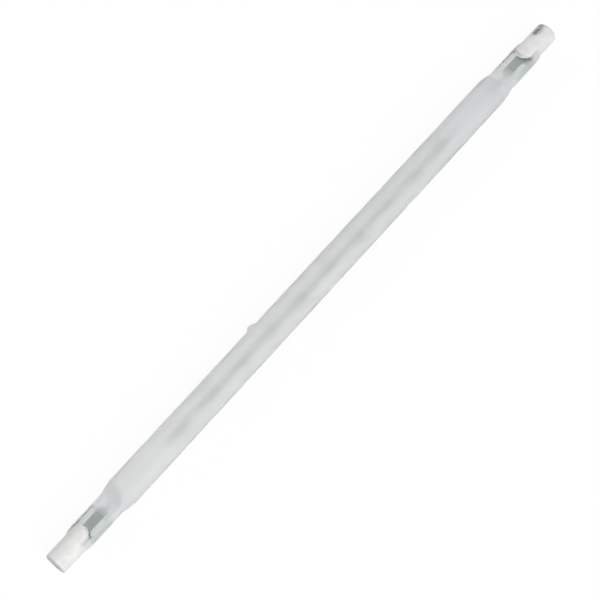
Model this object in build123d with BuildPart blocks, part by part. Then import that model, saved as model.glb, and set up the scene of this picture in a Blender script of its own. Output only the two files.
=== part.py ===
from build123d import *
import os

# Double-ended linear halogen lamp. X runs along the tube, Z is square to the flat faces of the pinches,
# and the origin is the middle of the lamp, on the tube's axis. All sizes are in millimetres.

# Length over the ends, and how deep the contacts lie in them
overall_length = 254.1
recess_depth = 1.7

# Quartz envelope: round tube, flattened shoulders and flat pinches
tube_diameter = 11.0
tube_wall = 1.0
shoulder_length = 3.3
pinch_length = 17.8
pinch_width = 9.6
pinch_thickness = 3.2
pinch_corner_radius = 0.5
bore_setback = 0.6

# Sealed exhaust tip on the side of the tube
tip_offset = 26.0
tip_height = 2.0
tip_base_radius = 2.2
tip_end_radius = 0.7

# Ceramic bases: round nose with a recessed contact, and two prongs over the pinch
nose_length = 9.75
nose_diameter = 8.0
nose_chamfer = 0.5
prong_length = 5.1
prong_half_width = 3.0
prong_relief = 0.25
cement_thickness = 0.25
recess_diameter = 4.2
contact_diameter = 3.4
contact_thickness = 1.2
contact_chamfer = 0.25
contact_clearance = 0.05

# Leads and sealing foils
lead_diameter = 1.0
lead_clearance = 0.03
lead_hole_diameter = 1.4
weld_length = 2.5
weld_flat = 0.1
foil_inset = 4.0
foil_length = 11.5
foil_width = 4.0
foil_thickness = 0.05

# Filament and its supports
filament_setback = 24.2
filament_wire = 0.35
filament_clearance = 0.05
lead_insertion = 3.0
support_count = 10
support_overhang = 4.5
support_wire = 0.3
support_clearance = 0.05
grip_arc = 110
spring_arc = 100
support_turn = 180

# Stations along the axis, measured outwards from the middle of the lamp
lamp_end = overall_length / 2
contact_face = lamp_end - recess_depth
pinch_end = lamp_end - nose_length
pinch_start = pinch_end - pinch_length
tube_end = pinch_start - shoulder_length
foil_start = pinch_start + foil_inset
foil_end = foil_start + foil_length
filament_end = tube_end - filament_setback
contact_back = contact_face - contact_thickness

tube_radius = tube_diameter / 2
bore_radius = tube_radius - tube_wall
tip_foot = bore_radius + tube_wall / 2
tip_top = tube_radius + tip_height
nose_radius = nose_diameter / 2
prong_radius = nose_radius - prong_relief
slot_half = pinch_thickness / 2 + cement_thickness
slot_bottom = pinch_end + cement_thickness
prong_tip = pinch_end - prong_length
lead_radius = lead_diameter / 2
lead_bore_radius = lead_radius + lead_clearance
weld_plane = lead_radius - weld_flat
filament_bore = lead_radius + filament_clearance
filament_radius = filament_bore + filament_wire

os.makedirs("parts", exist_ok=True)

# The two ends are the same, turned half round about Z. On an end's cross plane, x runs across the pinch,
# y through it and z outwards along the lamp. On its plan plane, x runs outwards and y across the pinch.
sides = {"left": -1, "right": 1}
middle = (0, 0, 0)
cross_planes = {side: Plane(middle, x_dir=(0, way, 0), z_dir=(way, 0, 0)) for side, way in sides.items()}
plan_planes = {side: Plane(middle, x_dir=(way, 0, 0), z_dir=(0, 0, 1)) for side, way in sides.items()}

# Lays a rectangle's lower edge on the plane of a weld
on_face = (Align.CENTER, Align.MIN)


def shoulder_outline(pinch_half):
    """The long hexagon whose slopes take the tube down to half a pinch's width or thickness."""
    slope = shoulder_length / (tube_radius - pinch_half)
    crest = (tube_end - slope * tube_wall, tube_radius + tube_wall)
    corners = [crest, (pinch_start, pinch_half), (pinch_start, -pinch_half), (crest[0], -crest[1])]
    Polyline(corners + [(-x, y) for x, y in reversed(corners)], close=True)


def prong_outline():
    """The rounded tongue that a prong covers, from its tip to the slot's bottom, on an end's plan plane."""
    round_centre = prong_tip + prong_half_width
    CenterArc((round_centre, 0), prong_half_width, 90, 180)
    Polyline(
        (round_centre, prong_half_width),
        (slot_bottom, prong_half_width),
        (slot_bottom, -prong_half_width),
        (round_centre, -prong_half_width),
    )


def finish(builder, name):
    """Name a finished piece and write it to its own file."""
    builder.part.label = name
    export_step(builder.part, f"parts/{name}.step")


# Quartz envelope: one blown and pinched piece of tube
with BuildPart() as quartz_envelope:
    with BuildSketch(Plane.YZ):
        Circle(tube_radius)
    extrude(amount=pinch_start, both=True)
    for outline_plane, pinch_half in ((Plane.XZ, pinch_thickness / 2), (Plane.XY, pinch_width / 2)):
        with BuildSketch(outline_plane):
            with BuildLine():
                shoulder_outline(pinch_half)
            make_face()
        extrude(amount=tube_diameter, both=True, mode=Mode.INTERSECT)
    for cross in cross_planes.values():
        with BuildSketch(cross.offset(pinch_start)):
            RectangleRounded(pinch_width, pinch_thickness, pinch_corner_radius)
        extrude(amount=pinch_length)

    # Exhaust tip, drawn off and melted shut
    with BuildSketch(Plane.XY):
        with BuildLine():
            Polyline(
                (-tip_offset, tip_foot),
                (-tip_offset - tip_base_radius, tip_foot),
                (-tip_offset - tip_end_radius, tip_top),
                (-tip_offset, tip_top),
                close=True,
            )
        make_face()
    revolve(axis=Axis((-tip_offset, 0, 0), (0, 1, 0)))

    # Bore of the tube, closing onto the inner lead in each shoulder
    with BuildSketch(Plane.XY):
        with BuildLine():
            bore_corners = [
                (tube_end - bore_setback, bore_radius),
                (pinch_start - bore_setback, lead_bore_radius),
                (pinch_start - bore_setback, 0),
            ]
            Polyline(bore_corners + [(-x, y) for x, y in reversed(bore_corners)], close=True)
        make_face()
    revolve(axis=Axis.X, mode=Mode.SUBTRACT)

    # Ways for the two leads of each end, and the foil sealed between them
    for cross in cross_planes.values():
        with BuildSketch(cross.offset(pinch_start - bore_setback)):
            Circle(lead_bore_radius)
        extrude(amount=foil_inset + bore_setback, mode=Mode.SUBTRACT)
        with BuildSketch(cross.offset(foil_end)):
            Circle(lead_bore_radius)
        extrude(amount=pinch_end - foil_end, mode=Mode.SUBTRACT)
        for weld_start in (foil_start, foil_end - weld_length):
            with BuildSketch(cross.offset(weld_start)):
                Circle(lead_bore_radius)
                with Locations((0, weld_plane)):
                    Rectangle(lead_diameter, lead_diameter, align=on_face, mode=Mode.SUBTRACT)
            extrude(amount=weld_length, mode=Mode.SUBTRACT)
        with BuildSketch(cross.offset(foil_start)):
            with Locations((0, weld_plane)):
                Rectangle(foil_width, foil_thickness, align=on_face)
        extrude(amount=foil_length, mode=Mode.SUBTRACT)
finish(quartz_envelope, "quartz_envelope")

# Filament: the close coil as one hollow rod
with BuildPart() as filament:
    with BuildSketch(Plane.YZ):
        Circle(filament_radius)
        Circle(filament_bore, mode=Mode.SUBTRACT)
    extrude(amount=filament_end, both=True)
finish(filament, "filament")

for side, cross in cross_planes.items():
    plan = plan_planes[side]
    outward = Axis(middle, cross.z_dir)

    # Inner lead: rod from the coil's end through the shoulder, with a flat welded under the foil
    with BuildPart() as inner_lead:
        with BuildSketch(cross.offset(filament_end - lead_insertion)):
            Circle(lead_radius)
        extrude(amount=foil_start + weld_length - filament_end + lead_insertion)
        with BuildSketch(cross.offset(foil_start)):
            with Locations((0, weld_plane)):
                Rectangle(lead_diameter, lead_diameter, align=on_face)
        extrude(amount=weld_length, mode=Mode.SUBTRACT)
    finish(inner_lead, f"inner_lead_{side}")

    # Sealing foil, pinched gas-tight in the quartz
    with BuildPart() as foil:
        with BuildSketch(cross.offset(foil_start)):
            with Locations((0, weld_plane)):
                Rectangle(foil_width, foil_thickness, align=on_face)
        extrude(amount=foil_length)
    finish(foil, f"foil_{side}")

    # Outer lead: flat welded under the foil, rod out to the contact
    with BuildPart() as outer_lead:
        with BuildSketch(cross.offset(foil_end - weld_length)):
            Circle(lead_radius)
        extrude(amount=contact_back - foil_end + weld_length)
        with BuildSketch(cross.offset(foil_end - weld_length)):
            with Locations((0, weld_plane)):
                Rectangle(lead_diameter, lead_diameter, align=on_face)
        extrude(amount=weld_length, mode=Mode.SUBTRACT)
    finish(outer_lead, f"outer_lead_{side}")

    # Contact button at the bottom of the recess
    with BuildPart() as contact:
        with BuildSketch(cross.offset(contact_back)):
            Circle(contact_diameter / 2)
        extrude(amount=contact_thickness)
        chamfer(contact.edges().group_by(outward)[-1], contact_chamfer)
    finish(contact, f"contact_{side}")

    # Ceramic base: rounded prongs a step below the nose, stepped hole for the contact, slot for the pinch
    with BuildPart() as ceramic_base:
        with BuildSketch(plan):
            with BuildLine():
                prong_outline()
            make_face()
        extrude(amount=nose_radius, both=True)
        with BuildSketch(cross.offset(prong_tip)):
            Circle(prong_radius)
        extrude(amount=slot_bottom - prong_tip, mode=Mode.INTERSECT)
        with BuildSketch(cross.offset(pinch_end)):
            Circle(nose_radius)
        extrude(amount=nose_length)
        chamfer(ceramic_base.edges().group_by(outward)[-1], nose_chamfer)
        with Locations(cross.offset(lamp_end)):
            CounterBoreHole(
                radius=contact_diameter / 2 + contact_clearance,
                counter_bore_radius=recess_diameter / 2,
                counter_bore_depth=recess_depth,
                depth=recess_depth + contact_thickness,
            )
        with BuildSketch(cross.offset(slot_bottom)):
            Circle(lead_hole_diameter / 2)
        extrude(amount=contact_back - slot_bottom, mode=Mode.SUBTRACT)
        with BuildSketch(cross.offset(prong_tip)):
            Rectangle(pinch_width, 2 * slot_half)
        extrude(amount=slot_bottom - prong_tip, mode=Mode.SUBTRACT)
    finish(ceramic_base, f"ceramic_base_{side}")

    # Basing cement: the thin bed between the slot and the pinch
    with BuildPart() as cement:
        with BuildSketch(plan):
            with BuildLine():
                prong_outline()
            make_face()
        extrude(amount=slot_half, both=True)
        with BuildSketch(cross.offset(prong_tip)):
            Rectangle(pinch_width, pinch_thickness)
        extrude(amount=prong_length, mode=Mode.SUBTRACT)
        with BuildSketch(cross.offset(pinch_end)):
            Circle(lead_hole_diameter / 2)
        extrude(amount=cement_thickness, mode=Mode.SUBTRACT)
    finish(cement, f"cement_{side}")

# Filament supports: flat wire spirals that grip the coil and spring against the bore
grip_radius = filament_radius + support_wire / 2
spring_radius = bore_radius - support_wire / 2 - support_clearance
link_offset = (grip_radius - spring_radius) / 2
first_support = -filament_end + support_overhang
support_pitch = -2 * first_support / (support_count - 1)
for number in range(support_count):
    station = first_support + number * support_pitch
    spiral = Plane.XY.rotated((support_turn * number, 0, 0))
    centre_line = Axis(middle, spiral.x_dir)
    link_line = Axis(spiral.from_local_coords((0, link_offset, 0)), spiral.x_dir)
    with BuildPart() as support:
        with BuildSketch(spiral):
            with Locations((station, grip_radius)):
                Rectangle(support_wire, support_wire)
        revolve(axis=centre_line.reverse(), revolution_arc=grip_arc)
        with BuildSketch(spiral):
            with Locations((station, grip_radius)):
                Rectangle(support_wire, support_wire)
        revolve(axis=link_line, revolution_arc=180)
        with BuildSketch(spiral):
            with Locations((station, -spring_radius)):
                Rectangle(support_wire, support_wire)
        revolve(axis=centre_line, revolution_arc=spring_arc)
    finish(support, f"support_{number + 1}")
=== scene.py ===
from math import asin, cos, exp, hypot, pi, radians, sin, sqrt

import bmesh
import bpy
from mathutils import Matrix, Vector


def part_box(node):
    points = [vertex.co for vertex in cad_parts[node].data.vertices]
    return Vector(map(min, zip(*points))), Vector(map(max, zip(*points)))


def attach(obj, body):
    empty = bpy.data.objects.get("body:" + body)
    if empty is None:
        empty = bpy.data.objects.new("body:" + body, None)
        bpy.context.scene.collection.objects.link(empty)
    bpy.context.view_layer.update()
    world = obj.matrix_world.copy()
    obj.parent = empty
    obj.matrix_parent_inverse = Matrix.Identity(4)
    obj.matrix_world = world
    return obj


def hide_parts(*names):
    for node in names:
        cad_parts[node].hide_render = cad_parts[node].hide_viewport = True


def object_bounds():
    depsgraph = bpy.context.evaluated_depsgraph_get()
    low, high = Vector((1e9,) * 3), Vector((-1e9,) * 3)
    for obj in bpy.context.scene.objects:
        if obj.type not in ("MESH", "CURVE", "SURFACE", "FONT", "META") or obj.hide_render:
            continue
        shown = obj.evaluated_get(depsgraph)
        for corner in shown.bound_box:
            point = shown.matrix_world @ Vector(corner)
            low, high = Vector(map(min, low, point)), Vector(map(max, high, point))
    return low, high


# A double-ended halogen lamp on a white ground. Lengths are in metres, in the frame of the part:
# X runs along the tube and Z is square to the flats of the pinches.
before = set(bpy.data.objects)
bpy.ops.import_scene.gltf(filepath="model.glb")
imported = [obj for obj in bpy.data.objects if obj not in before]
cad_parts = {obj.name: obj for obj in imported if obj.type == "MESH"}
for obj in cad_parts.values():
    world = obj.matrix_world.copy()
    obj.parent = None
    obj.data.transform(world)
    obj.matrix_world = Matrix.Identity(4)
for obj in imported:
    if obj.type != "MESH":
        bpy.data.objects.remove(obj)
cad_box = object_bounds()

BODY = "root"
SIDES = ("left", "right")
SUPPORTS = sorted(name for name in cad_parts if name.startswith("support_"))

# Sizes from the frame
env_low, env_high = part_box("quartz_envelope")
fil_low, fil_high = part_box("filament")
LAMP_END = cad_box[1][0]
PINCH_END = env_high.x
TUBE_RADIUS = -env_low.y
TIP_HEIGHT = env_high.y - TUBE_RADIUS

# Quartz envelope, where the frame's boxes don't give a size
TUBE_END = 0.0962
PINCH_START = 0.0995
SHOULDER_BLEND = 0.0010
SHOULDER_START = TUBE_END - SHOULDER_BLEND
SHOULDER_END = PINCH_START + SHOULDER_BLEND
PINCH_HALF_WIDTH = 0.0048
PINCH_HALF_THICKNESS = 0.00162
PINCH_CORNER = 0.0007
PINCH_EDGE = 0.00015
PINCH_ROUND_LENGTH = 0.0030
PINCH_ROUND_WIDTH = 0.0008
WALL = 0.001
BORE_RADIUS = TUBE_RADIUS - WALL
BORE_SETBACK = 0.0006
LEAD_BORE = 0.00053
TIP_X = -0.026
TIP_BASE = 0.0036
TIP_CROWN = 0.0005

# Wire of the filament and its supports
FILAMENT_WIRE = 0.00035
COIL_PITCH = 0.00055
GRIP_TURN = radians(110)
GRIP_WRAPS = 12
GRIP_PITCH = 0.00034
SPRING_TURN = radians(100)

# Rounded edges of the ceramic and the contacts
BASE_ROUNDING = 0.00015
CONTACT_ROUNDING = 0.0001

# Cement squeezed out round the prongs; a wave is a share of the bead, then radians a metre along and across
BEAD_THIN = 0.0003
BEAD_FULL = 0.0006
BEAD_REACH = 0.0018
BEAD_HEIGHT = 0.0004
BEAD_CURVE = ((0.3, 0.66), (0.65, 0.3), (1.0, 0.0))
BEAD_FOOT = 0.9
BEAD_TUCK = 0.0002
BEAD_SINK = 0.0003
BEAD_WAVES = ((0.12, 2300, 1100), (0.06, -2100, 3700))

# Cement between the noses and the corners of the pinches; the wave's radians a metre go across
SIDE_BEAD_PINCH = 0.0022
SIDE_BEAD_NOSE = 0.0024
SIDE_BEAD_FALL = 1.6
SIDE_BEAD_CROWN = 0.85
SIDE_BEAD_WAVE = (0.1, 4100)

# How finely the curved pieces are divided
CORNER_STEPS = 48
SHOULDER_STEPS = 26
ROUND_STEPS = 14
LEFT_TUBE_STEPS = 9
RIGHT_TUBE_STEPS = 28
TIP_STEP = 0.00013
TURN_STEPS = 16
WIRE_SIDES = 8
BEAD_STEPS = 12
ROUNDING_STEPS = 3
ARC_STEP = radians(5)

# Where a mesh is welded, flattened and shaded sharp
WELD = 1e-6
FLAT_ANGLE = radians(1)
SHARP_ANGLE = radians(40)
SOLID_SHARP_ANGLE = radians(35)

# Borders on the quartz, as distances from the lamp's middle or its axis, and how much they fray
SATIN_FADE = (0.1019, 0.1074)
SATIN_FRAY = 0.0014
WORKED_FADE = (0.0940, 0.0985)
FILM_FADE = (0.1129, 0.1148)
FILM_FRAY = 0.004
NEAR_EDGE_FADE = (0.0041, 0.0046)
NEAR_EDGE_HAZE = 0.75
# The +Y edges are hazy and painted lighter
FAR_EDGE_FADE = (0.0037, 0.0043)
FAR_EDGE_HAZE = 0.4

# Finish of the quartz: the tube and its shoulders, a pinch's face and its edges, a film of cement
QUARTZ_IOR = 1.458
SATIN_SHEEN = 0.45
SATIN_ROUGH = (0.82, 0.87)
SATIN_THROUGH = (0.66, 0.42)
SATIN_GRAIN = 0.4
# Painted light: the satin's colour lightens towards the left end
SATIN_PAINTED_LIGHT = 0.25
SATIN_PAINTED_LIGHT_REACH = 0.1
PINCH_ROUGH = (0.10, 0.6)
PINCH_THROUGH = (0.80, 0.25)
FILM_ROUGH = 0.7
FILM_THROUGH = 0.15

# Painted shade on the ceramic: darker end rims and a dark patch on the right nose
PAINTED_SHADE_RIM = (LAMP_END - 0.0008, LAMP_END - 0.0001)
PAINTED_SHADE_RIM_SHARE = 0.4
SHADE_PATCH_PLACE = (0.1240, 0.0006, 0.0038)
SHADE_PATCH_SIZE = (0.0040, 0.0022, 0.0016)
SHADE_PATCH_FADE = (0.5, 1.0)
SHADE_PATCH_NOISE = ((0.38, 0.58), (0.3, 1.0))
PAINTED_SHADE_GRAIN = (0.75, 1.0)

# Colours, in pairs where they vary
SATIN_COLOURS = ((0.915, 0.936, 0.942, 1), (0.99, 0.996, 0.997, 1))
SHOULDER_COLOUR = (0.90, 0.921, 0.931, 1)
# The pinches' tint, then the paler colour painted on their +Y edges as painted light
PINCH_TINT_AND_PAINTED_LIGHT = ((0.71, 0.762, 0.745, 1), (0.97, 0.98, 0.978, 1))
FILM_COLOUR = (0.79, 0.81, 0.80, 1)
BORE_COLOURS = ((0.98, 0.985, 0.985, 1), (0.998, 0.998, 0.998, 1))
STEATITE_COLOURS = ((0.76, 0.76, 0.752, 1), (0.875, 0.875, 0.868, 1))
# Painted shade on the ceramic's end rims and right nose
PAINTED_SHADE_COLOUR = (0.17, 0.17, 0.18, 1)
CEMENT_COLOURS = ((0.75, 0.75, 0.735, 1), (0.845, 0.845, 0.83, 1))
TUNGSTEN_COLOURS = ((0.34, 0.34, 0.34, 1), (0.45, 0.45, 0.45, 1))
# Painted shade: the supports are darker than clean tungsten, so that they show through the satin as dark
# spots
SUPPORT_SHADE_COLOURS = ((0.09, 0.09, 0.092, 1), (0.15, 0.15, 0.153, 1))
FOIL_COLOURS = ((0.42, 0.435, 0.43, 1), (0.54, 0.555, 0.55, 1))
NICKEL_COLOURS = ((0.50, 0.49, 0.46, 1), (0.66, 0.65, 0.62, 1))

# Roughness of the other finishes, from least to most
BORE_ROUGH = (0.05, 0.16)
STEATITE_ROUGH = (0.42, 0.62)
CEMENT_ROUGH = (0.8, 0.95)
TUNGSTEN_ROUGH = (0.35, 0.55)
SUPPORT_SHADE_ROUGH = (0.40, 0.60)
FOIL_ROUGH = (0.30, 0.48)
NICKEL_ROUGH = (0.22, 0.40)

# The range that most of a noise lies in, and its middle part
NOISE_RANGE = (0.3, 0.7)
NOISE_MIDDLE = (0.35, 0.65)
WHOLE = (0.0, 1.0)

# The photograph's view, in its 600 pixel frame
IMAGE_SIZE = 600
SENSOR_MM = 36.0
FOCAL_PX = 1815.0
CAMERA_DISTANCE = 0.610
CAMERA_CLIP = 0.01
AXIS_SLOPE = asin(0.292)
VIEW_TILT = radians(35.0)
AXIS_ANGLE = radians(47.30)
LAMP_CENTRE_PX = (315.2, 282.9)

# Light and ground
AMBIENT = 0.5
KEY_WATTS = 4.4
KEY_PLACE = Vector((-0.20, -0.78, 0.42))
FILL_WATTS = 1.8
FILL_PLACE = Vector((0.15, 0.78, 0.34))
LIGHT_SIZE = 0.5
GROUND_SIZE = 8.0
GROUND_GLOW = 0.90
GROUND_SHADE = 0.13
GROUND_BOUNCE = 0.8


def smooth(share):
    """Eases from 0 to 1 with no slope at either end."""
    share = min(1.0, max(0.0, share))
    return share * share * (3 - 2 * share)


def bell(distance):
    """1 at nothing, falling away on either side."""
    return exp(-distance * distance)


def between(start, end, share):
    """The value at a share of the way from start to end."""
    return start + (end - start) * share


def steps(start, end, count):
    """count + 1 even stations from start to end."""
    return [between(start, end, k / count) for k in range(count + 1)]


# Meshes

def loft(bm, rings, inward=False):
    """Joins rings of equal count into a skin, closed at both ends."""
    rows = [[bm.verts.new(point) for point in ring] for ring in rings]
    faces = []
    for row, following in zip(rows, rows[1:]):
        for k in range(len(row)):
            nxt = (k + 1) % len(row)
            faces.append(bm.faces.new((row[k], row[nxt], following[nxt], following[k])))
    faces.append(bm.faces.new(list(reversed(rows[0]))))
    faces.append(bm.faces.new(rows[-1]))
    if inward:
        bmesh.ops.reverse_faces(bm, faces=faces)
    return faces


def piece(name, bm, materials, sharp=SHARP_ANGLE):
    """Makes an object of a finished mesh, shaded smooth up to a sharp angle."""
    mesh = bpy.data.meshes.new(name)
    bm.to_mesh(mesh)
    bm.free()
    for material in materials:
        mesh.materials.append(material)
    mesh.polygons.foreach_set("use_smooth", [True] * len(mesh.polygons))
    mesh.set_sharp_from_angle(angle=sharp)
    made = bpy.data.objects.new(name, mesh)
    bpy.context.scene.collection.objects.link(made)
    return made


def stand_for(made, node):
    """A piece that takes a CAD node's place and finish."""
    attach(made, BODY)
    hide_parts(node)


def welded_copy(node):
    """A CAD node's mesh, to be worked on, with its faces joined along their edges."""
    bm = bmesh.new()
    bm.from_mesh(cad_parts[node].data)
    bmesh.ops.remove_doubles(bm, verts=bm.verts, dist=WELD)
    return bm


def wire_ring(centre, radius, first, second):
    """A ring round a wire's centre, in the plane of two directions."""
    angles = [2 * pi * k / WIRE_SIDES for k in range(WIRE_SIDES)]
    return [centre + radius * (cos(angle) * first + sin(angle) * second) for angle in angles]


def wire(bm, centres, sideways, radius):
    """A round wire along points that lie in or near one plane; sideways is the plane's normal."""
    rings = []
    for k, centre in enumerate(centres):
        ahead = (centres[min(k + 1, len(centres) - 1)] - centres[max(k - 1, 0)]).normalized()
        rings.append(wire_ring(centre, radius, ahead.cross(sideways).normalized(), sideways))
    loft(bm, rings)


# Shader nodes

def set_inputs(tree, node, inputs):
    """Sets or links a node's inputs, by name or by number."""
    for key, value in inputs.items():
        if isinstance(value, bpy.types.NodeSocket):
            tree.links.new(value, node.inputs[key])
        else:
            node.inputs[key].default_value = value


def add_node(tree, kind, inputs=None, **settings):
    """Adds a shader node with its inputs and settings."""
    made = tree.nodes.new(kind)
    for name, value in settings.items():
        setattr(made, name, value)
    set_inputs(tree, made, inputs or {})
    return made


def noise(tree, place, scale, detail, stretch=None):
    """Noise at a scale in features per metre, drawn out along X where stretch says so."""
    if stretch:
        mapping = add_node(tree, "ShaderNodeMapping", {"Vector": place, "Scale": (stretch, 1.0, 1.0)})
        place = mapping.outputs["Vector"]
    inputs = {"Vector": place, "Scale": scale, "Detail": detail}
    return add_node(tree, "ShaderNodeTexNoise", inputs).outputs["Fac"]


def remap(tree, value, source, result=WHOLE, easing="LINEAR"):
    """Takes a range of values to another."""
    inputs = dict(enumerate((value, *source, *result)))
    return add_node(tree, "ShaderNodeMapRange", inputs, interpolation_type=easing).outputs[0]


def fade(tree, value, source, top=1.0):
    """Eases from 0 to the top over a range of values."""
    return remap(tree, value, source, (0.0, top), "SMOOTHSTEP")


def calc(tree, operation, first, second=0.0):
    """One step of arithmetic."""
    return add_node(tree, "ShaderNodeMath", {0: first, 1: second}, operation=operation).outputs[0]


def calc_vector(tree, operation, first, second=(0.0, 0.0, 0.0)):
    """One step of vector arithmetic, with its vector and its plain number as outputs."""
    return add_node(tree, "ShaderNodeVectorMath", {0: first, 1: second}, operation=operation).outputs


def weigh(tree, first, second, share):
    """Two values added, where the first has a share and the second has the rest."""
    rest = calc(tree, "MULTIPLY", second, 1 - share)
    return calc(tree, "ADD", calc(tree, "MULTIPLY", first, share), rest)


def blend(tree, share, first, second):
    """A value that goes from the first to the second."""
    return add_node(tree, "ShaderNodeMix", {0: share, 2: first, 3: second}, data_type="FLOAT").outputs[0]


def blend_colour(tree, share, first, second):
    """A colour that goes from the first to the second."""
    made = add_node(tree, "ShaderNodeMix", {0: share, 6: first, 7: second}, data_type="RGBA")
    return made.outputs[2]


def bump(tree, height, strength, distance):
    """A surface made uneven by a height."""
    inputs = {"Strength": strength, "Distance": distance, "Height": height}
    return add_node(tree, "ShaderNodeBump", inputs).outputs["Normal"]


def split(tree, place):
    """A place's X, Y and Z."""
    return add_node(tree, "ShaderNodeSeparateXYZ", {0: place}).outputs


def new_material(name):
    """A material with its tree, its main shader and the place on the part."""
    made = bpy.data.materials.new(name)
    made.use_nodes = True
    tree = made.node_tree
    place = add_node(tree, "ShaderNodeTexCoord").outputs["Object"]
    return made, tree, tree.nodes["Principled BSDF"], place


# Materials

def frayed(tree, place, along, scale, detail, fray):
    """The distance from the lamp's middle, made uneven so that a border drawn by it frays."""
    uneven = calc(tree, "SUBTRACT", noise(tree, place, scale, detail), 0.5)
    return calc(tree, "ADD", calc(tree, "ABSOLUTE", along), calc(tree, "MULTIPLY", uneven, fray))


def satin_cover(tree, place):
    """How thickly the satin lies: streaks along the tube and broader clouds."""
    streaks = noise(tree, place, scale=420.0, detail=3.0, stretch=0.12)
    clouds = noise(tree, place, scale=130.0, detail=2.0, stretch=0.4)
    return weigh(tree, streaks, clouds, share=0.5)


def satin_colour(tree, along, cover, worked):
    """The satin's colour, with painted light that makes it lighter towards the left end, and even on the
    shoulders.
    """
    painted_light = remap(tree, along, (-SATIN_PAINTED_LIGHT_REACH, SATIN_PAINTED_LIGHT_REACH), (SATIN_PAINTED_LIGHT, -SATIN_PAINTED_LIGHT))
    satin = blend_colour(tree, calc(tree, "ADD", cover, painted_light), *SATIN_COLOURS)
    return blend_colour(tree, worked, satin, SHOULDER_COLOUR)


def satin_relief(tree, place, clear):
    """Fine grain and long ripples, which end where the glass is clear."""
    grain = noise(tree, place, scale=5200.0, detail=2.0)
    ripple = noise(tree, place, scale=900.0, detail=1.0, stretch=0.3)
    relief = calc(tree, "ADD", calc(tree, "MULTIPLY", grain, SATIN_GRAIN), ripple)
    height = calc(tree, "MULTIPLY", relief, calc(tree, "SUBTRACT", 1.0, clear))
    return bump(tree, height, strength=0.18, distance=0.00005)


def satin_quartz():
    """Quartz glass: a satin tube, milky shoulders and clear pinches, hazy at their long edges, with painted
    light on the pinches' +Y edges and towards the tube's left end.
    """
    made, tree, shader, place = new_material("satin_quartz")
    along, across, _ = split(tree, place)
    border = frayed(tree, place, along, scale=300.0, detail=0.0, fray=SATIN_FRAY)
    clear = fade(tree, border, SATIN_FADE)
    worked = fade(tree, border, WORKED_FADE)
    film_border = frayed(tree, place, along, scale=700.0, detail=3.0, fray=FILM_FRAY)
    film = fade(tree, film_border, FILM_FADE)
    near = fade(tree, calc(tree, "MULTIPLY", across, -1.0), NEAR_EDGE_FADE, NEAR_EDGE_HAZE)
    far_haze_and_light = fade(tree, across, FAR_EDGE_FADE)
    edge = calc(tree, "MAXIMUM", near, calc(tree, "MULTIPLY", far_haze_and_light, FAR_EDGE_HAZE))
    cover = satin_cover(tree, place)
    satin = satin_colour(tree, along, cover, worked)
    # Painted light: the pinches' colour pales towards their +Y edges
    colour = blend_colour(tree, clear, satin, blend_colour(tree, far_haze_and_light, *PINCH_TINT_AND_PAINTED_LIGHT))
    frost = remap(tree, cover, NOISE_RANGE, SATIN_ROUGH)
    rough = blend(tree, clear, frost, remap(tree, edge, WHOLE, PINCH_ROUGH))
    milky = remap(tree, worked, WHOLE, SATIN_THROUGH)
    through = blend(tree, clear, milky, remap(tree, edge, WHOLE, PINCH_THROUGH))
    set_inputs(tree, shader, {
        "Base Color": blend_colour(tree, film, colour, FILM_COLOUR),
        "Roughness": blend(tree, film, rough, FILM_ROUGH),
        "Transmission Weight": blend(tree, film, through, FILM_THROUGH),
        "Normal": satin_relief(tree, place, clear),
        "IOR": QUARTZ_IOR,
        "Sheen Weight": SATIN_SHEEN,
    })
    return made


def clear_quartz():
    """The smooth inside of the tube."""
    made, tree, shader, place = new_material("clear_quartz")
    mist = noise(tree, place, scale=240.0, detail=2.0, stretch=0.2)
    set_inputs(tree, shader, {
        "Base Color": blend_colour(tree, mist, *BORE_COLOURS),
        "Roughness": remap(tree, mist, NOISE_RANGE, BORE_ROUGH),
        "Transmission Weight": 1.0,
        "IOR": QUARTZ_IOR,
    })
    return made


def painted_shade_marks(tree, place, grain):
    """Painted shade on the ceramic: both end rims, and a dark patch on the right nose."""
    reach = calc(tree, "ABSOLUTE", split(tree, place)["X"])
    shaded_rim = fade(tree, reach, PAINTED_SHADE_RIM, PAINTED_SHADE_RIM_SHARE)
    offset = calc_vector(tree, "SUBTRACT", place, SHADE_PATCH_PLACE)["Vector"]
    scaled = calc_vector(tree, "DIVIDE", offset, SHADE_PATCH_SIZE)["Vector"]
    away = calc_vector(tree, "LENGTH", scaled)["Value"]
    shade_patch = remap(tree, away, SHADE_PATCH_FADE, (1.0, 0.0), "SMOOTHSTEP")
    shade_patches = remap(tree, noise(tree, place, scale=520.0, detail=4.0), *SHADE_PATCH_NOISE)
    painted_shade = calc(tree, "MAXIMUM", shaded_rim, calc(tree, "MULTIPLY", shade_patch, shade_patches))
    return calc(tree, "MULTIPLY", painted_shade, remap(tree, grain, NOISE_RANGE, PAINTED_SHADE_GRAIN))


def steatite():
    """Unglazed white ceramic with fine grain, and painted shade on its end rims and right nose."""
    made, tree, shader, place = new_material("steatite")
    grain = noise(tree, place, scale=2600.0, detail=4.0)
    clouds = noise(tree, place, scale=350.0, detail=2.0)
    shade = remap(tree, weigh(tree, grain, clouds, share=0.4), NOISE_MIDDLE)
    colour = blend_colour(tree, shade, *STEATITE_COLOURS)
    set_inputs(tree, shader, {
        # Painted shade darkens the ceramic's colour at its end rims and on its right nose
        "Base Color": blend_colour(tree, painted_shade_marks(tree, place, grain), colour, PAINTED_SHADE_COLOUR),
        "Roughness": remap(tree, clouds, NOISE_RANGE, STEATITE_ROUGH),
        "Normal": bump(tree, grain, strength=0.25, distance=0.00006),
    })
    return made


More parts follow.
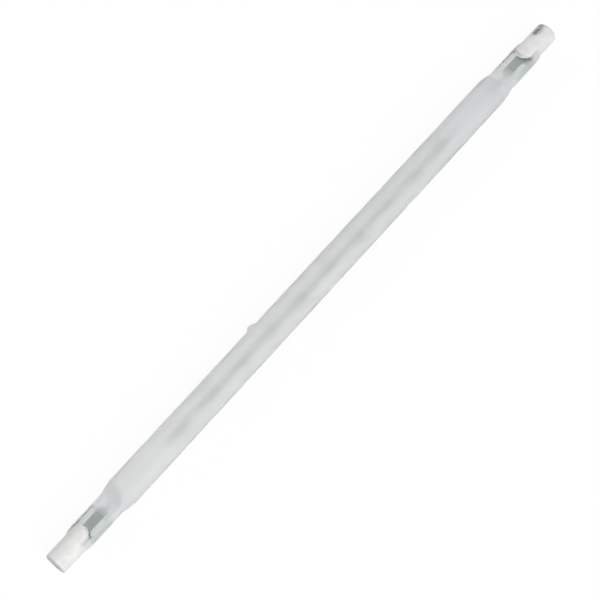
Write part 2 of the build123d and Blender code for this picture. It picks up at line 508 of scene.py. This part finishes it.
def cement():
    """Pale, gritty basing cement."""
    made, tree, shader, place = new_material("basing_cement")
    grit = noise(tree, place, scale=4200.0, detail=5.0)
    set_inputs(tree, shader, {
        "Base Color": blend_colour(tree, remap(tree, grit, NOISE_MIDDLE), *CEMENT_COLOURS),
        "Roughness": remap(tree, grit, NOISE_RANGE, CEMENT_ROUGH),
        "Normal": bump(tree, grit, strength=0.5, distance=0.0001),
    })
    return made


def metal(name, colours, roughness, scale, stretch, relief):
    """A drawn, rolled or turned metal, streaked along X."""
    made, tree, shader, place = new_material(name)
    streaks = noise(tree, place, scale, detail=4.0, stretch=stretch)
    set_inputs(tree, shader, {
        "Base Color": blend_colour(tree, remap(tree, streaks, NOISE_RANGE), *colours),
        "Roughness": remap(tree, streaks, NOISE_RANGE, roughness),
        "Normal": bump(tree, streaks, strength=relief, distance=0.00003),
        "Metallic": 1.0,
    })
    return made


# Quartz envelope

def section(x, half_width, half_height, corner):
    """A rectangle with rounded corners across the lamp; a full corner makes it a circle."""
    points = []
    for quarter in range(4):
        side_y = 1 if quarter in (0, 3) else -1
        side_z = 1 if quarter in (0, 1) else -1
        for k in range(CORNER_STEPS):
            angle = pi / 2 * (quarter + (k + 0.5) / CORNER_STEPS)
            y = side_y * (half_width - corner) + corner * cos(angle)
            z = side_z * (half_height - corner) + corner * sin(angle)
            points.append(with_tip(x, y, z))
    return points


def with_tip(x, y, z):
    """Draws the tube's skin out into the exhaust tip on its +Y side."""
    off = hypot(x - TIP_X, z)
    if y > 0 and off < TIP_BASE:
        y += TIP_HEIGHT * smooth((TIP_BASE - off) / (TIP_BASE - TIP_CROWN))
    return Vector((x, y, z))


def end_narrowing(x):
    """How much a pinch's rounded corners take off its half width at a station."""
    into = min(1.0, max(0.0, (abs(x) - PINCH_END) / PINCH_ROUND_LENGTH + 1))
    return PINCH_ROUND_WIDTH * (1 - sqrt(1 - into * into))


def shoulder_section(x):
    """The section of the tube, a shoulder or a pinch at a station."""
    share = smooth((abs(x) - SHOULDER_START) / (SHOULDER_END - SHOULDER_START))
    half_width = between(TUBE_RADIUS, PINCH_HALF_WIDTH, share) - end_narrowing(x)
    half_height = between(TUBE_RADIUS, PINCH_HALF_THICKNESS, share)
    corner = between(PINCH_CORNER, half_height, 1 - share * share)
    return section(x, half_width, half_height, corner)


def outer_stations():
    """Stations from one pinch to the other, close together in the shoulders and at the tip."""
    corner = [PINCH_END - PINCH_ROUND_LENGTH * (1 - sin(a)) for a in steps(0, pi / 2, ROUND_STEPS)]
    right = steps(SHOULDER_START, SHOULDER_END, SHOULDER_STEPS) + corner[:-2] + [PINCH_END - PINCH_EDGE]
    left = [-x for x in reversed(right)]
    tube_left = steps(-SHOULDER_START, TIP_X - TIP_BASE, LEFT_TUBE_STEPS)[1:-1]
    tube_right = steps(TIP_X + TIP_BASE, SHOULDER_START, RIGHT_TUBE_STEPS)[1:-1]
    tip = steps(TIP_X - TIP_BASE, TIP_X + TIP_BASE, round(2 * TIP_BASE / TIP_STEP))
    return left + tube_left + tip + tube_right + right


def bore_profile():
    """Stations and radii of the bore, which closes to the lead at both ends."""
    right = []
    for share in steps(0, 1, SHOULDER_STEPS):
        x = between(TUBE_END, PINCH_START, share) - BORE_SETBACK
        right.append((x, between(BORE_RADIUS, LEAD_BORE, smooth(share))))
    return [(-x, radius) for x, radius in reversed(right)] + right


def build_envelope(satin, clear):
    """The blown tube with its shoulders, pinches, exhaust tip and bore."""
    bm = bmesh.new()
    rings = [shoulder_section(x) for x in outer_stations()]
    end_width = PINCH_HALF_WIDTH - PINCH_ROUND_WIDTH
    end = [end_width - PINCH_EDGE, PINCH_HALF_THICKNESS - PINCH_EDGE, PINCH_CORNER - PINCH_EDGE]
    rings.insert(0, section(-PINCH_END, *end))
    rings.append(section(PINCH_END, *end))
    loft(bm, rings)
    bore = loft(bm, [section(x, radius, radius, radius) for x, radius in bore_profile()], inward=True)
    for face in bore:
        face.material_index = 1
    made = piece("envelope", bm, [satin, clear])
    stand_for(made, "quartz_envelope")


# Filament and supports

def build_filament(material):
    """The coil, wound from one wire."""
    bm = bmesh.new()
    wire_radius = FILAMENT_WIRE / 2
    coil_radius = fil_high.y - wire_radius
    start, end = fil_low.x + wire_radius, fil_high.x - wire_radius
    count = round((end - start) / COIL_PITCH) * TURN_STEPS
    rings = []
    for k in range(count + 1):
        angle = 2 * pi * k / TURN_STEPS
        out = Vector((0, cos(angle), sin(angle)))
        centre = Vector((between(start, end, k / count), 0, 0)) + coil_radius * out
        rings.append(wire_ring(centre, wire_radius, out, Vector((1, 0, 0))))
    loft(bm, rings)
    stand_for(piece("filament_coil", bm, [material]), "filament")


def build_support(node, material):
    """A support of round wire: it is wound on the coil, swings out and springs against the bore."""
    low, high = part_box(node)
    radius = (high.x - low.x) / 2
    station = (low.x + high.x) / 2
    way = 1 if -low.y > high.y else -1
    grip = fil_high.y + radius
    spring = max(-low.y, high.y) - radius
    link_centre = (grip - spring) / 2
    link_radius = (grip + spring) / 2
    reach = GRIP_WRAPS * GRIP_PITCH / 2

    def arc(centre_y, arc_radius, turn, along):
        """Points that turn about a line along the lamp and go along it meanwhile."""
        points = []
        for share in steps(0, 1, max(2, round(abs(turn[1] - turn[0]) / ARC_STEP))):
            angle = between(*turn, share)
            centre = Vector((station + between(*along, share), way * centre_y, 0))
            points.append(centre + way * arc_radius * Vector((0, cos(angle), sin(angle))))
        return points

    path = arc(0, grip, (-GRIP_TURN - 2 * pi * GRIP_WRAPS, 0), (-reach, reach))
    path += arc(link_centre, link_radius, (0, pi), (reach, 0))[1:]
    path += arc(0, spring, (pi, pi + SPRING_TURN), (0, 0))[1:]
    bm = bmesh.new()
    wire(bm, path, Vector((1, 0, 0)), radius)
    stand_for(piece(f"{node}_wire", bm, [material]), node)


# Pieces of the two ends

def rounded_copy(node, name, material, edge):
    """A CAD node's form with its edges rounded off."""
    bm = welded_copy(node)
    bmesh.ops.dissolve_limit(bm, angle_limit=FLAT_ANGLE, verts=bm.verts, edges=bm.edges)
    made = piece(name, bm, [material], sharp=SOLID_SHARP_ANGLE)
    rounding = made.modifiers.new("rounding", "BEVEL")
    rounding.width = edge
    rounding.segments = ROUNDING_STEPS
    rounding.limit_method = "ANGLE"
    rounding.angle_limit = SOLID_SHARP_ANGLE
    rounding.harden_normals = True
    stand_for(made, node)


def tongue_outline(tip, bottom, half_width):
    """Points round a prong's tongue, each with its outward way and its distance from the slot's bottom."""
    centre = tip + half_width
    straight = steps(bottom, centre, BEAD_STEPS)
    points = [((x, half_width), (0.0, 1.0), bottom - x) for x in straight]
    for angle in steps(pi / 2, 3 * pi / 2, 2 * BEAD_STEPS)[1:-1]:
        way = (cos(angle), sin(angle))
        points.append(((centre + half_width * way[0], half_width * way[1]), way, bottom - centre))
    points += [((x, -half_width), (0.0, -1.0), bottom - x) for x in reversed(straight)]
    return points


def bead_ring(place, way, from_bottom, end, face):
    """Section of the cement squeezed out round a tongue: full by the nose, thin round the tip."""
    x, y = place
    wave = 1 + sum(size * sin(along * x + across * y) for size, along, across in BEAD_WAVES)
    width = wave * (BEAD_THIN + BEAD_FULL * bell(from_bottom / BEAD_REACH))
    height = wave * BEAD_HEIGHT
    profile = [(-BEAD_TUCK, -BEAD_SINK), (-BEAD_TUCK, height)]
    profile += [(out * width, up * height) for out, up in BEAD_CURVE]
    profile.append((BEAD_FOOT * width, -BEAD_TUCK))
    ring = []
    for out, up in profile:
        level = face * (PINCH_HALF_THICKNESS + up)
        ring.append(Vector((end * (x + way[0] * out), y + way[1] * out, level)))
    return ring


def side_bead_ring(z, way, end, bottom, nose_radius):
    """Section of the cement between a nose and the corner of its pinch, at a height on the pinch's edge."""
    on_nose = sqrt(nose_radius * nose_radius - z * z)
    over = max(0.0, abs(z) - PINCH_HALF_THICKNESS + PINCH_CORNER)
    on_pinch = PINCH_HALF_WIDTH - PINCH_CORNER + sqrt(PINCH_CORNER * PINCH_CORNER - over * over)
    crown = sqrt(1 - SIDE_BEAD_CROWN * (z / PINCH_HALF_THICKNESS) ** 2)
    size, across = SIDE_BEAD_WAVE
    swell = crown * (1 + size * sin(across * z + 2 * way + end))
    start, stop = bottom - SIDE_BEAD_PINCH, bottom + SIDE_BEAD_NOSE * swell
    profile = []
    for share in steps(0, 1, BEAD_STEPS):
        out = between(on_nose, on_pinch, (1 - share) ** SIDE_BEAD_FALL)
        profile.append((between(start, stop, share), out))
    sunk = on_nose - BEAD_THIN
    profile += [(stop, sunk), (start, sunk)]
    return [Vector((end * x, way * y, z)) for x, y in profile]


def build_cement(side, material):
    """The cement of a base, with the beads that were squeezed out round its prongs and beside its nose."""
    node = f"cement_{side}"
    low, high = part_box(node)
    end = 1 if high.x > 0 else -1
    tip, bottom = sorted((abs(low.x), abs(high.x)))
    bm = welded_copy(node)
    for face in (1, -1):
        loft(bm, [bead_ring(*point, end, face) for point in tongue_outline(tip, bottom, high.y)])
    nose_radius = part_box(f"ceramic_base_{side}")[1].y
    heights = steps(-PINCH_HALF_THICKNESS, PINCH_HALF_THICKNESS, BEAD_STEPS)
    for way in (1, -1):
        loft(bm, [side_bead_ring(z, way, end, bottom, nose_radius) for z in heights])
    bmesh.ops.recalc_face_normals(bm, faces=bm.faces)
    stand_for(piece(f"{node}_bead", bm, [material]), node)


def finish_node(node, material):
    """A CAD node that keeps its own form."""
    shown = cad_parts[node]
    shown.data.materials.clear()
    shown.data.materials.append(material)


def build_lamp():
    """All the lamp's pieces and their materials."""
    tungsten = metal("tungsten", TUNGSTEN_COLOURS, TUNGSTEN_ROUGH, scale=2400.0, stretch=0.2, relief=0.3)
    # The supports' darker tungsten is painted shade
    shaded_support = metal("support_tungsten_painted_shade", SUPPORT_SHADE_COLOURS, SUPPORT_SHADE_ROUGH, scale=2400.0, stretch=0.2, relief=0.3)
    molybdenum = metal("molybdenum", FOIL_COLOURS, FOIL_ROUGH, scale=1500.0, stretch=0.1, relief=0.3)
    nickel = metal("nickel", NICKEL_COLOURS, NICKEL_ROUGH, scale=1800.0, stretch=0.6, relief=0.25)
    ceramic = steatite()
    grout = cement()
    build_envelope(satin_quartz(), clear_quartz())
    build_filament(tungsten)
    for node in SUPPORTS:
        build_support(node, shaded_support)
    for side in SIDES:
        finish_node(f"inner_lead_{side}", molybdenum)
        finish_node(f"outer_lead_{side}", molybdenum)
        finish_node(f"foil_{side}", molybdenum)
        build_cement(side, grout)
        rounded_copy(f"ceramic_base_{side}", f"base_{side}", ceramic, BASE_ROUNDING)
        rounded_copy(f"contact_{side}", f"button_{side}", nickel, CONTACT_ROUNDING)


# Ground, light and camera

def show_as_ground(tree):
    """1 for what the camera sees directly, in a reflection or through glass."""
    path = add_node(tree, "ShaderNodeLightPath").outputs
    seen = calc(tree, "MAXIMUM", path["Is Camera Ray"], path["Is Glossy Ray"])
    return calc(tree, "MAXIMUM", seen, path["Is Transmission Ray"])


def white_ground():
    """Glows for the camera but keeps a soft shadow, and sends light back up to the lamp."""
    made = bpy.data.materials.new("white_ground")
    made.use_nodes = True
    tree = made.node_tree
    tree.nodes.remove(tree.nodes["Principled BSDF"])
    bounce = add_node(tree, "ShaderNodeBsdfDiffuse", {"Color": (GROUND_BOUNCE,) * 3 + (1,)})
    shade = add_node(tree, "ShaderNodeBsdfDiffuse", {"Color": (GROUND_SHADE,) * 3 + (1,)})
    glow = add_node(tree, "ShaderNodeEmission", {"Strength": GROUND_GLOW})
    seen = add_node(tree, "ShaderNodeAddShader", {0: glow.outputs[0], 1: shade.outputs[0]})
    inputs = {0: show_as_ground(tree), 1: bounce.outputs[0], 2: seen.outputs[0]}
    both = add_node(tree, "ShaderNodeMixShader", inputs)
    set_inputs(tree, tree.nodes["Material Output"], {"Surface": both.outputs[0]})
    return made


def build_ground():
    """A wide white ground that the tube lies on."""
    made = white_ground()
    half = GROUND_SIZE / 2
    corners = ((-half, -half), (half, -half), (half, half), (-half, half))
    bm = bmesh.new()
    bm.faces.new([bm.verts.new((x, y, env_low.z)) for x, y in corners])
    piece("ground", bm, [made])


def build_world():
    """An even white surround that also lights the lamp."""
    world = bpy.data.worlds.new("surround")
    world.use_nodes = True
    tree = world.node_tree
    strength = remap(tree, show_as_ground(tree), WHOLE, (AMBIENT, 1.0))
    set_inputs(tree, tree.nodes["Background"], {"Strength": strength, "Color": (1, 1, 1, 1)})
    bpy.context.scene.world = world


def build_light(name, watts, place):
    """A large soft light that shines on the part and isn't itself seen in the glass."""
    data = bpy.data.lights.new(name, "AREA")
    data.energy = watts
    data.size = LIGHT_SIZE
    made = bpy.data.objects.new(name, data)
    made.location = place
    made.visible_glossy = False
    made.visible_transmission = False
    made.rotation_mode = "QUATERNION"
    made.rotation_quaternion = (-place).to_track_quat("-Z", "Y")
    bpy.context.scene.collection.objects.link(made)


def image_axes(back):
    """The picture's right and up, with the lamp's axis at its angle in the picture."""
    axis = Vector((1, 0, 0))
    flat = (axis - back * axis.dot(back)).normalized()
    over = back.cross(flat)
    right = cos(AXIS_ANGLE) * flat - sin(AXIS_ANGLE) * over
    return right, sin(AXIS_ANGLE) * flat + cos(AXIS_ANGLE) * over


def build_camera():
    """The photograph's camera, aimed so that the lamp's middle falls on its pixel."""
    across = cos(AXIS_SLOPE)
    away = Vector((-sin(AXIS_SLOPE), -across * sin(VIEW_TILT), across * cos(VIEW_TILT)))
    place = away * CAMERA_DISTANCE
    right, up = image_axes(away)
    off_right = LAMP_CENTRE_PX[0] - IMAGE_SIZE / 2
    off_up = IMAGE_SIZE / 2 - LAMP_CENTRE_PX[1]
    target = -(off_right * right + off_up * up) * CAMERA_DISTANCE / FOCAL_PX
    back = (place - target).normalized()
    right, up = image_axes(back)
    data = bpy.data.cameras.new("photo_view")
    data.sensor_width = SENSOR_MM
    data.lens = FOCAL_PX / IMAGE_SIZE * SENSOR_MM
    data.clip_start = CAMERA_CLIP
    made = bpy.data.objects.new("photo_view", data)
    turn = Matrix((right, up, back)).transposed().to_4x4()
    made.matrix_world = Matrix.Translation(place) @ turn
    bpy.context.scene.collection.objects.link(made)
    bpy.context.scene.camera = made


build_lamp()
build_ground()
build_world()
build_light("key", KEY_WATTS, KEY_PLACE)
build_light("fill", FILL_WATTS, FILL_PLACE)
build_camera()
bpy.context.scene.view_settings.view_transform = "Standard"
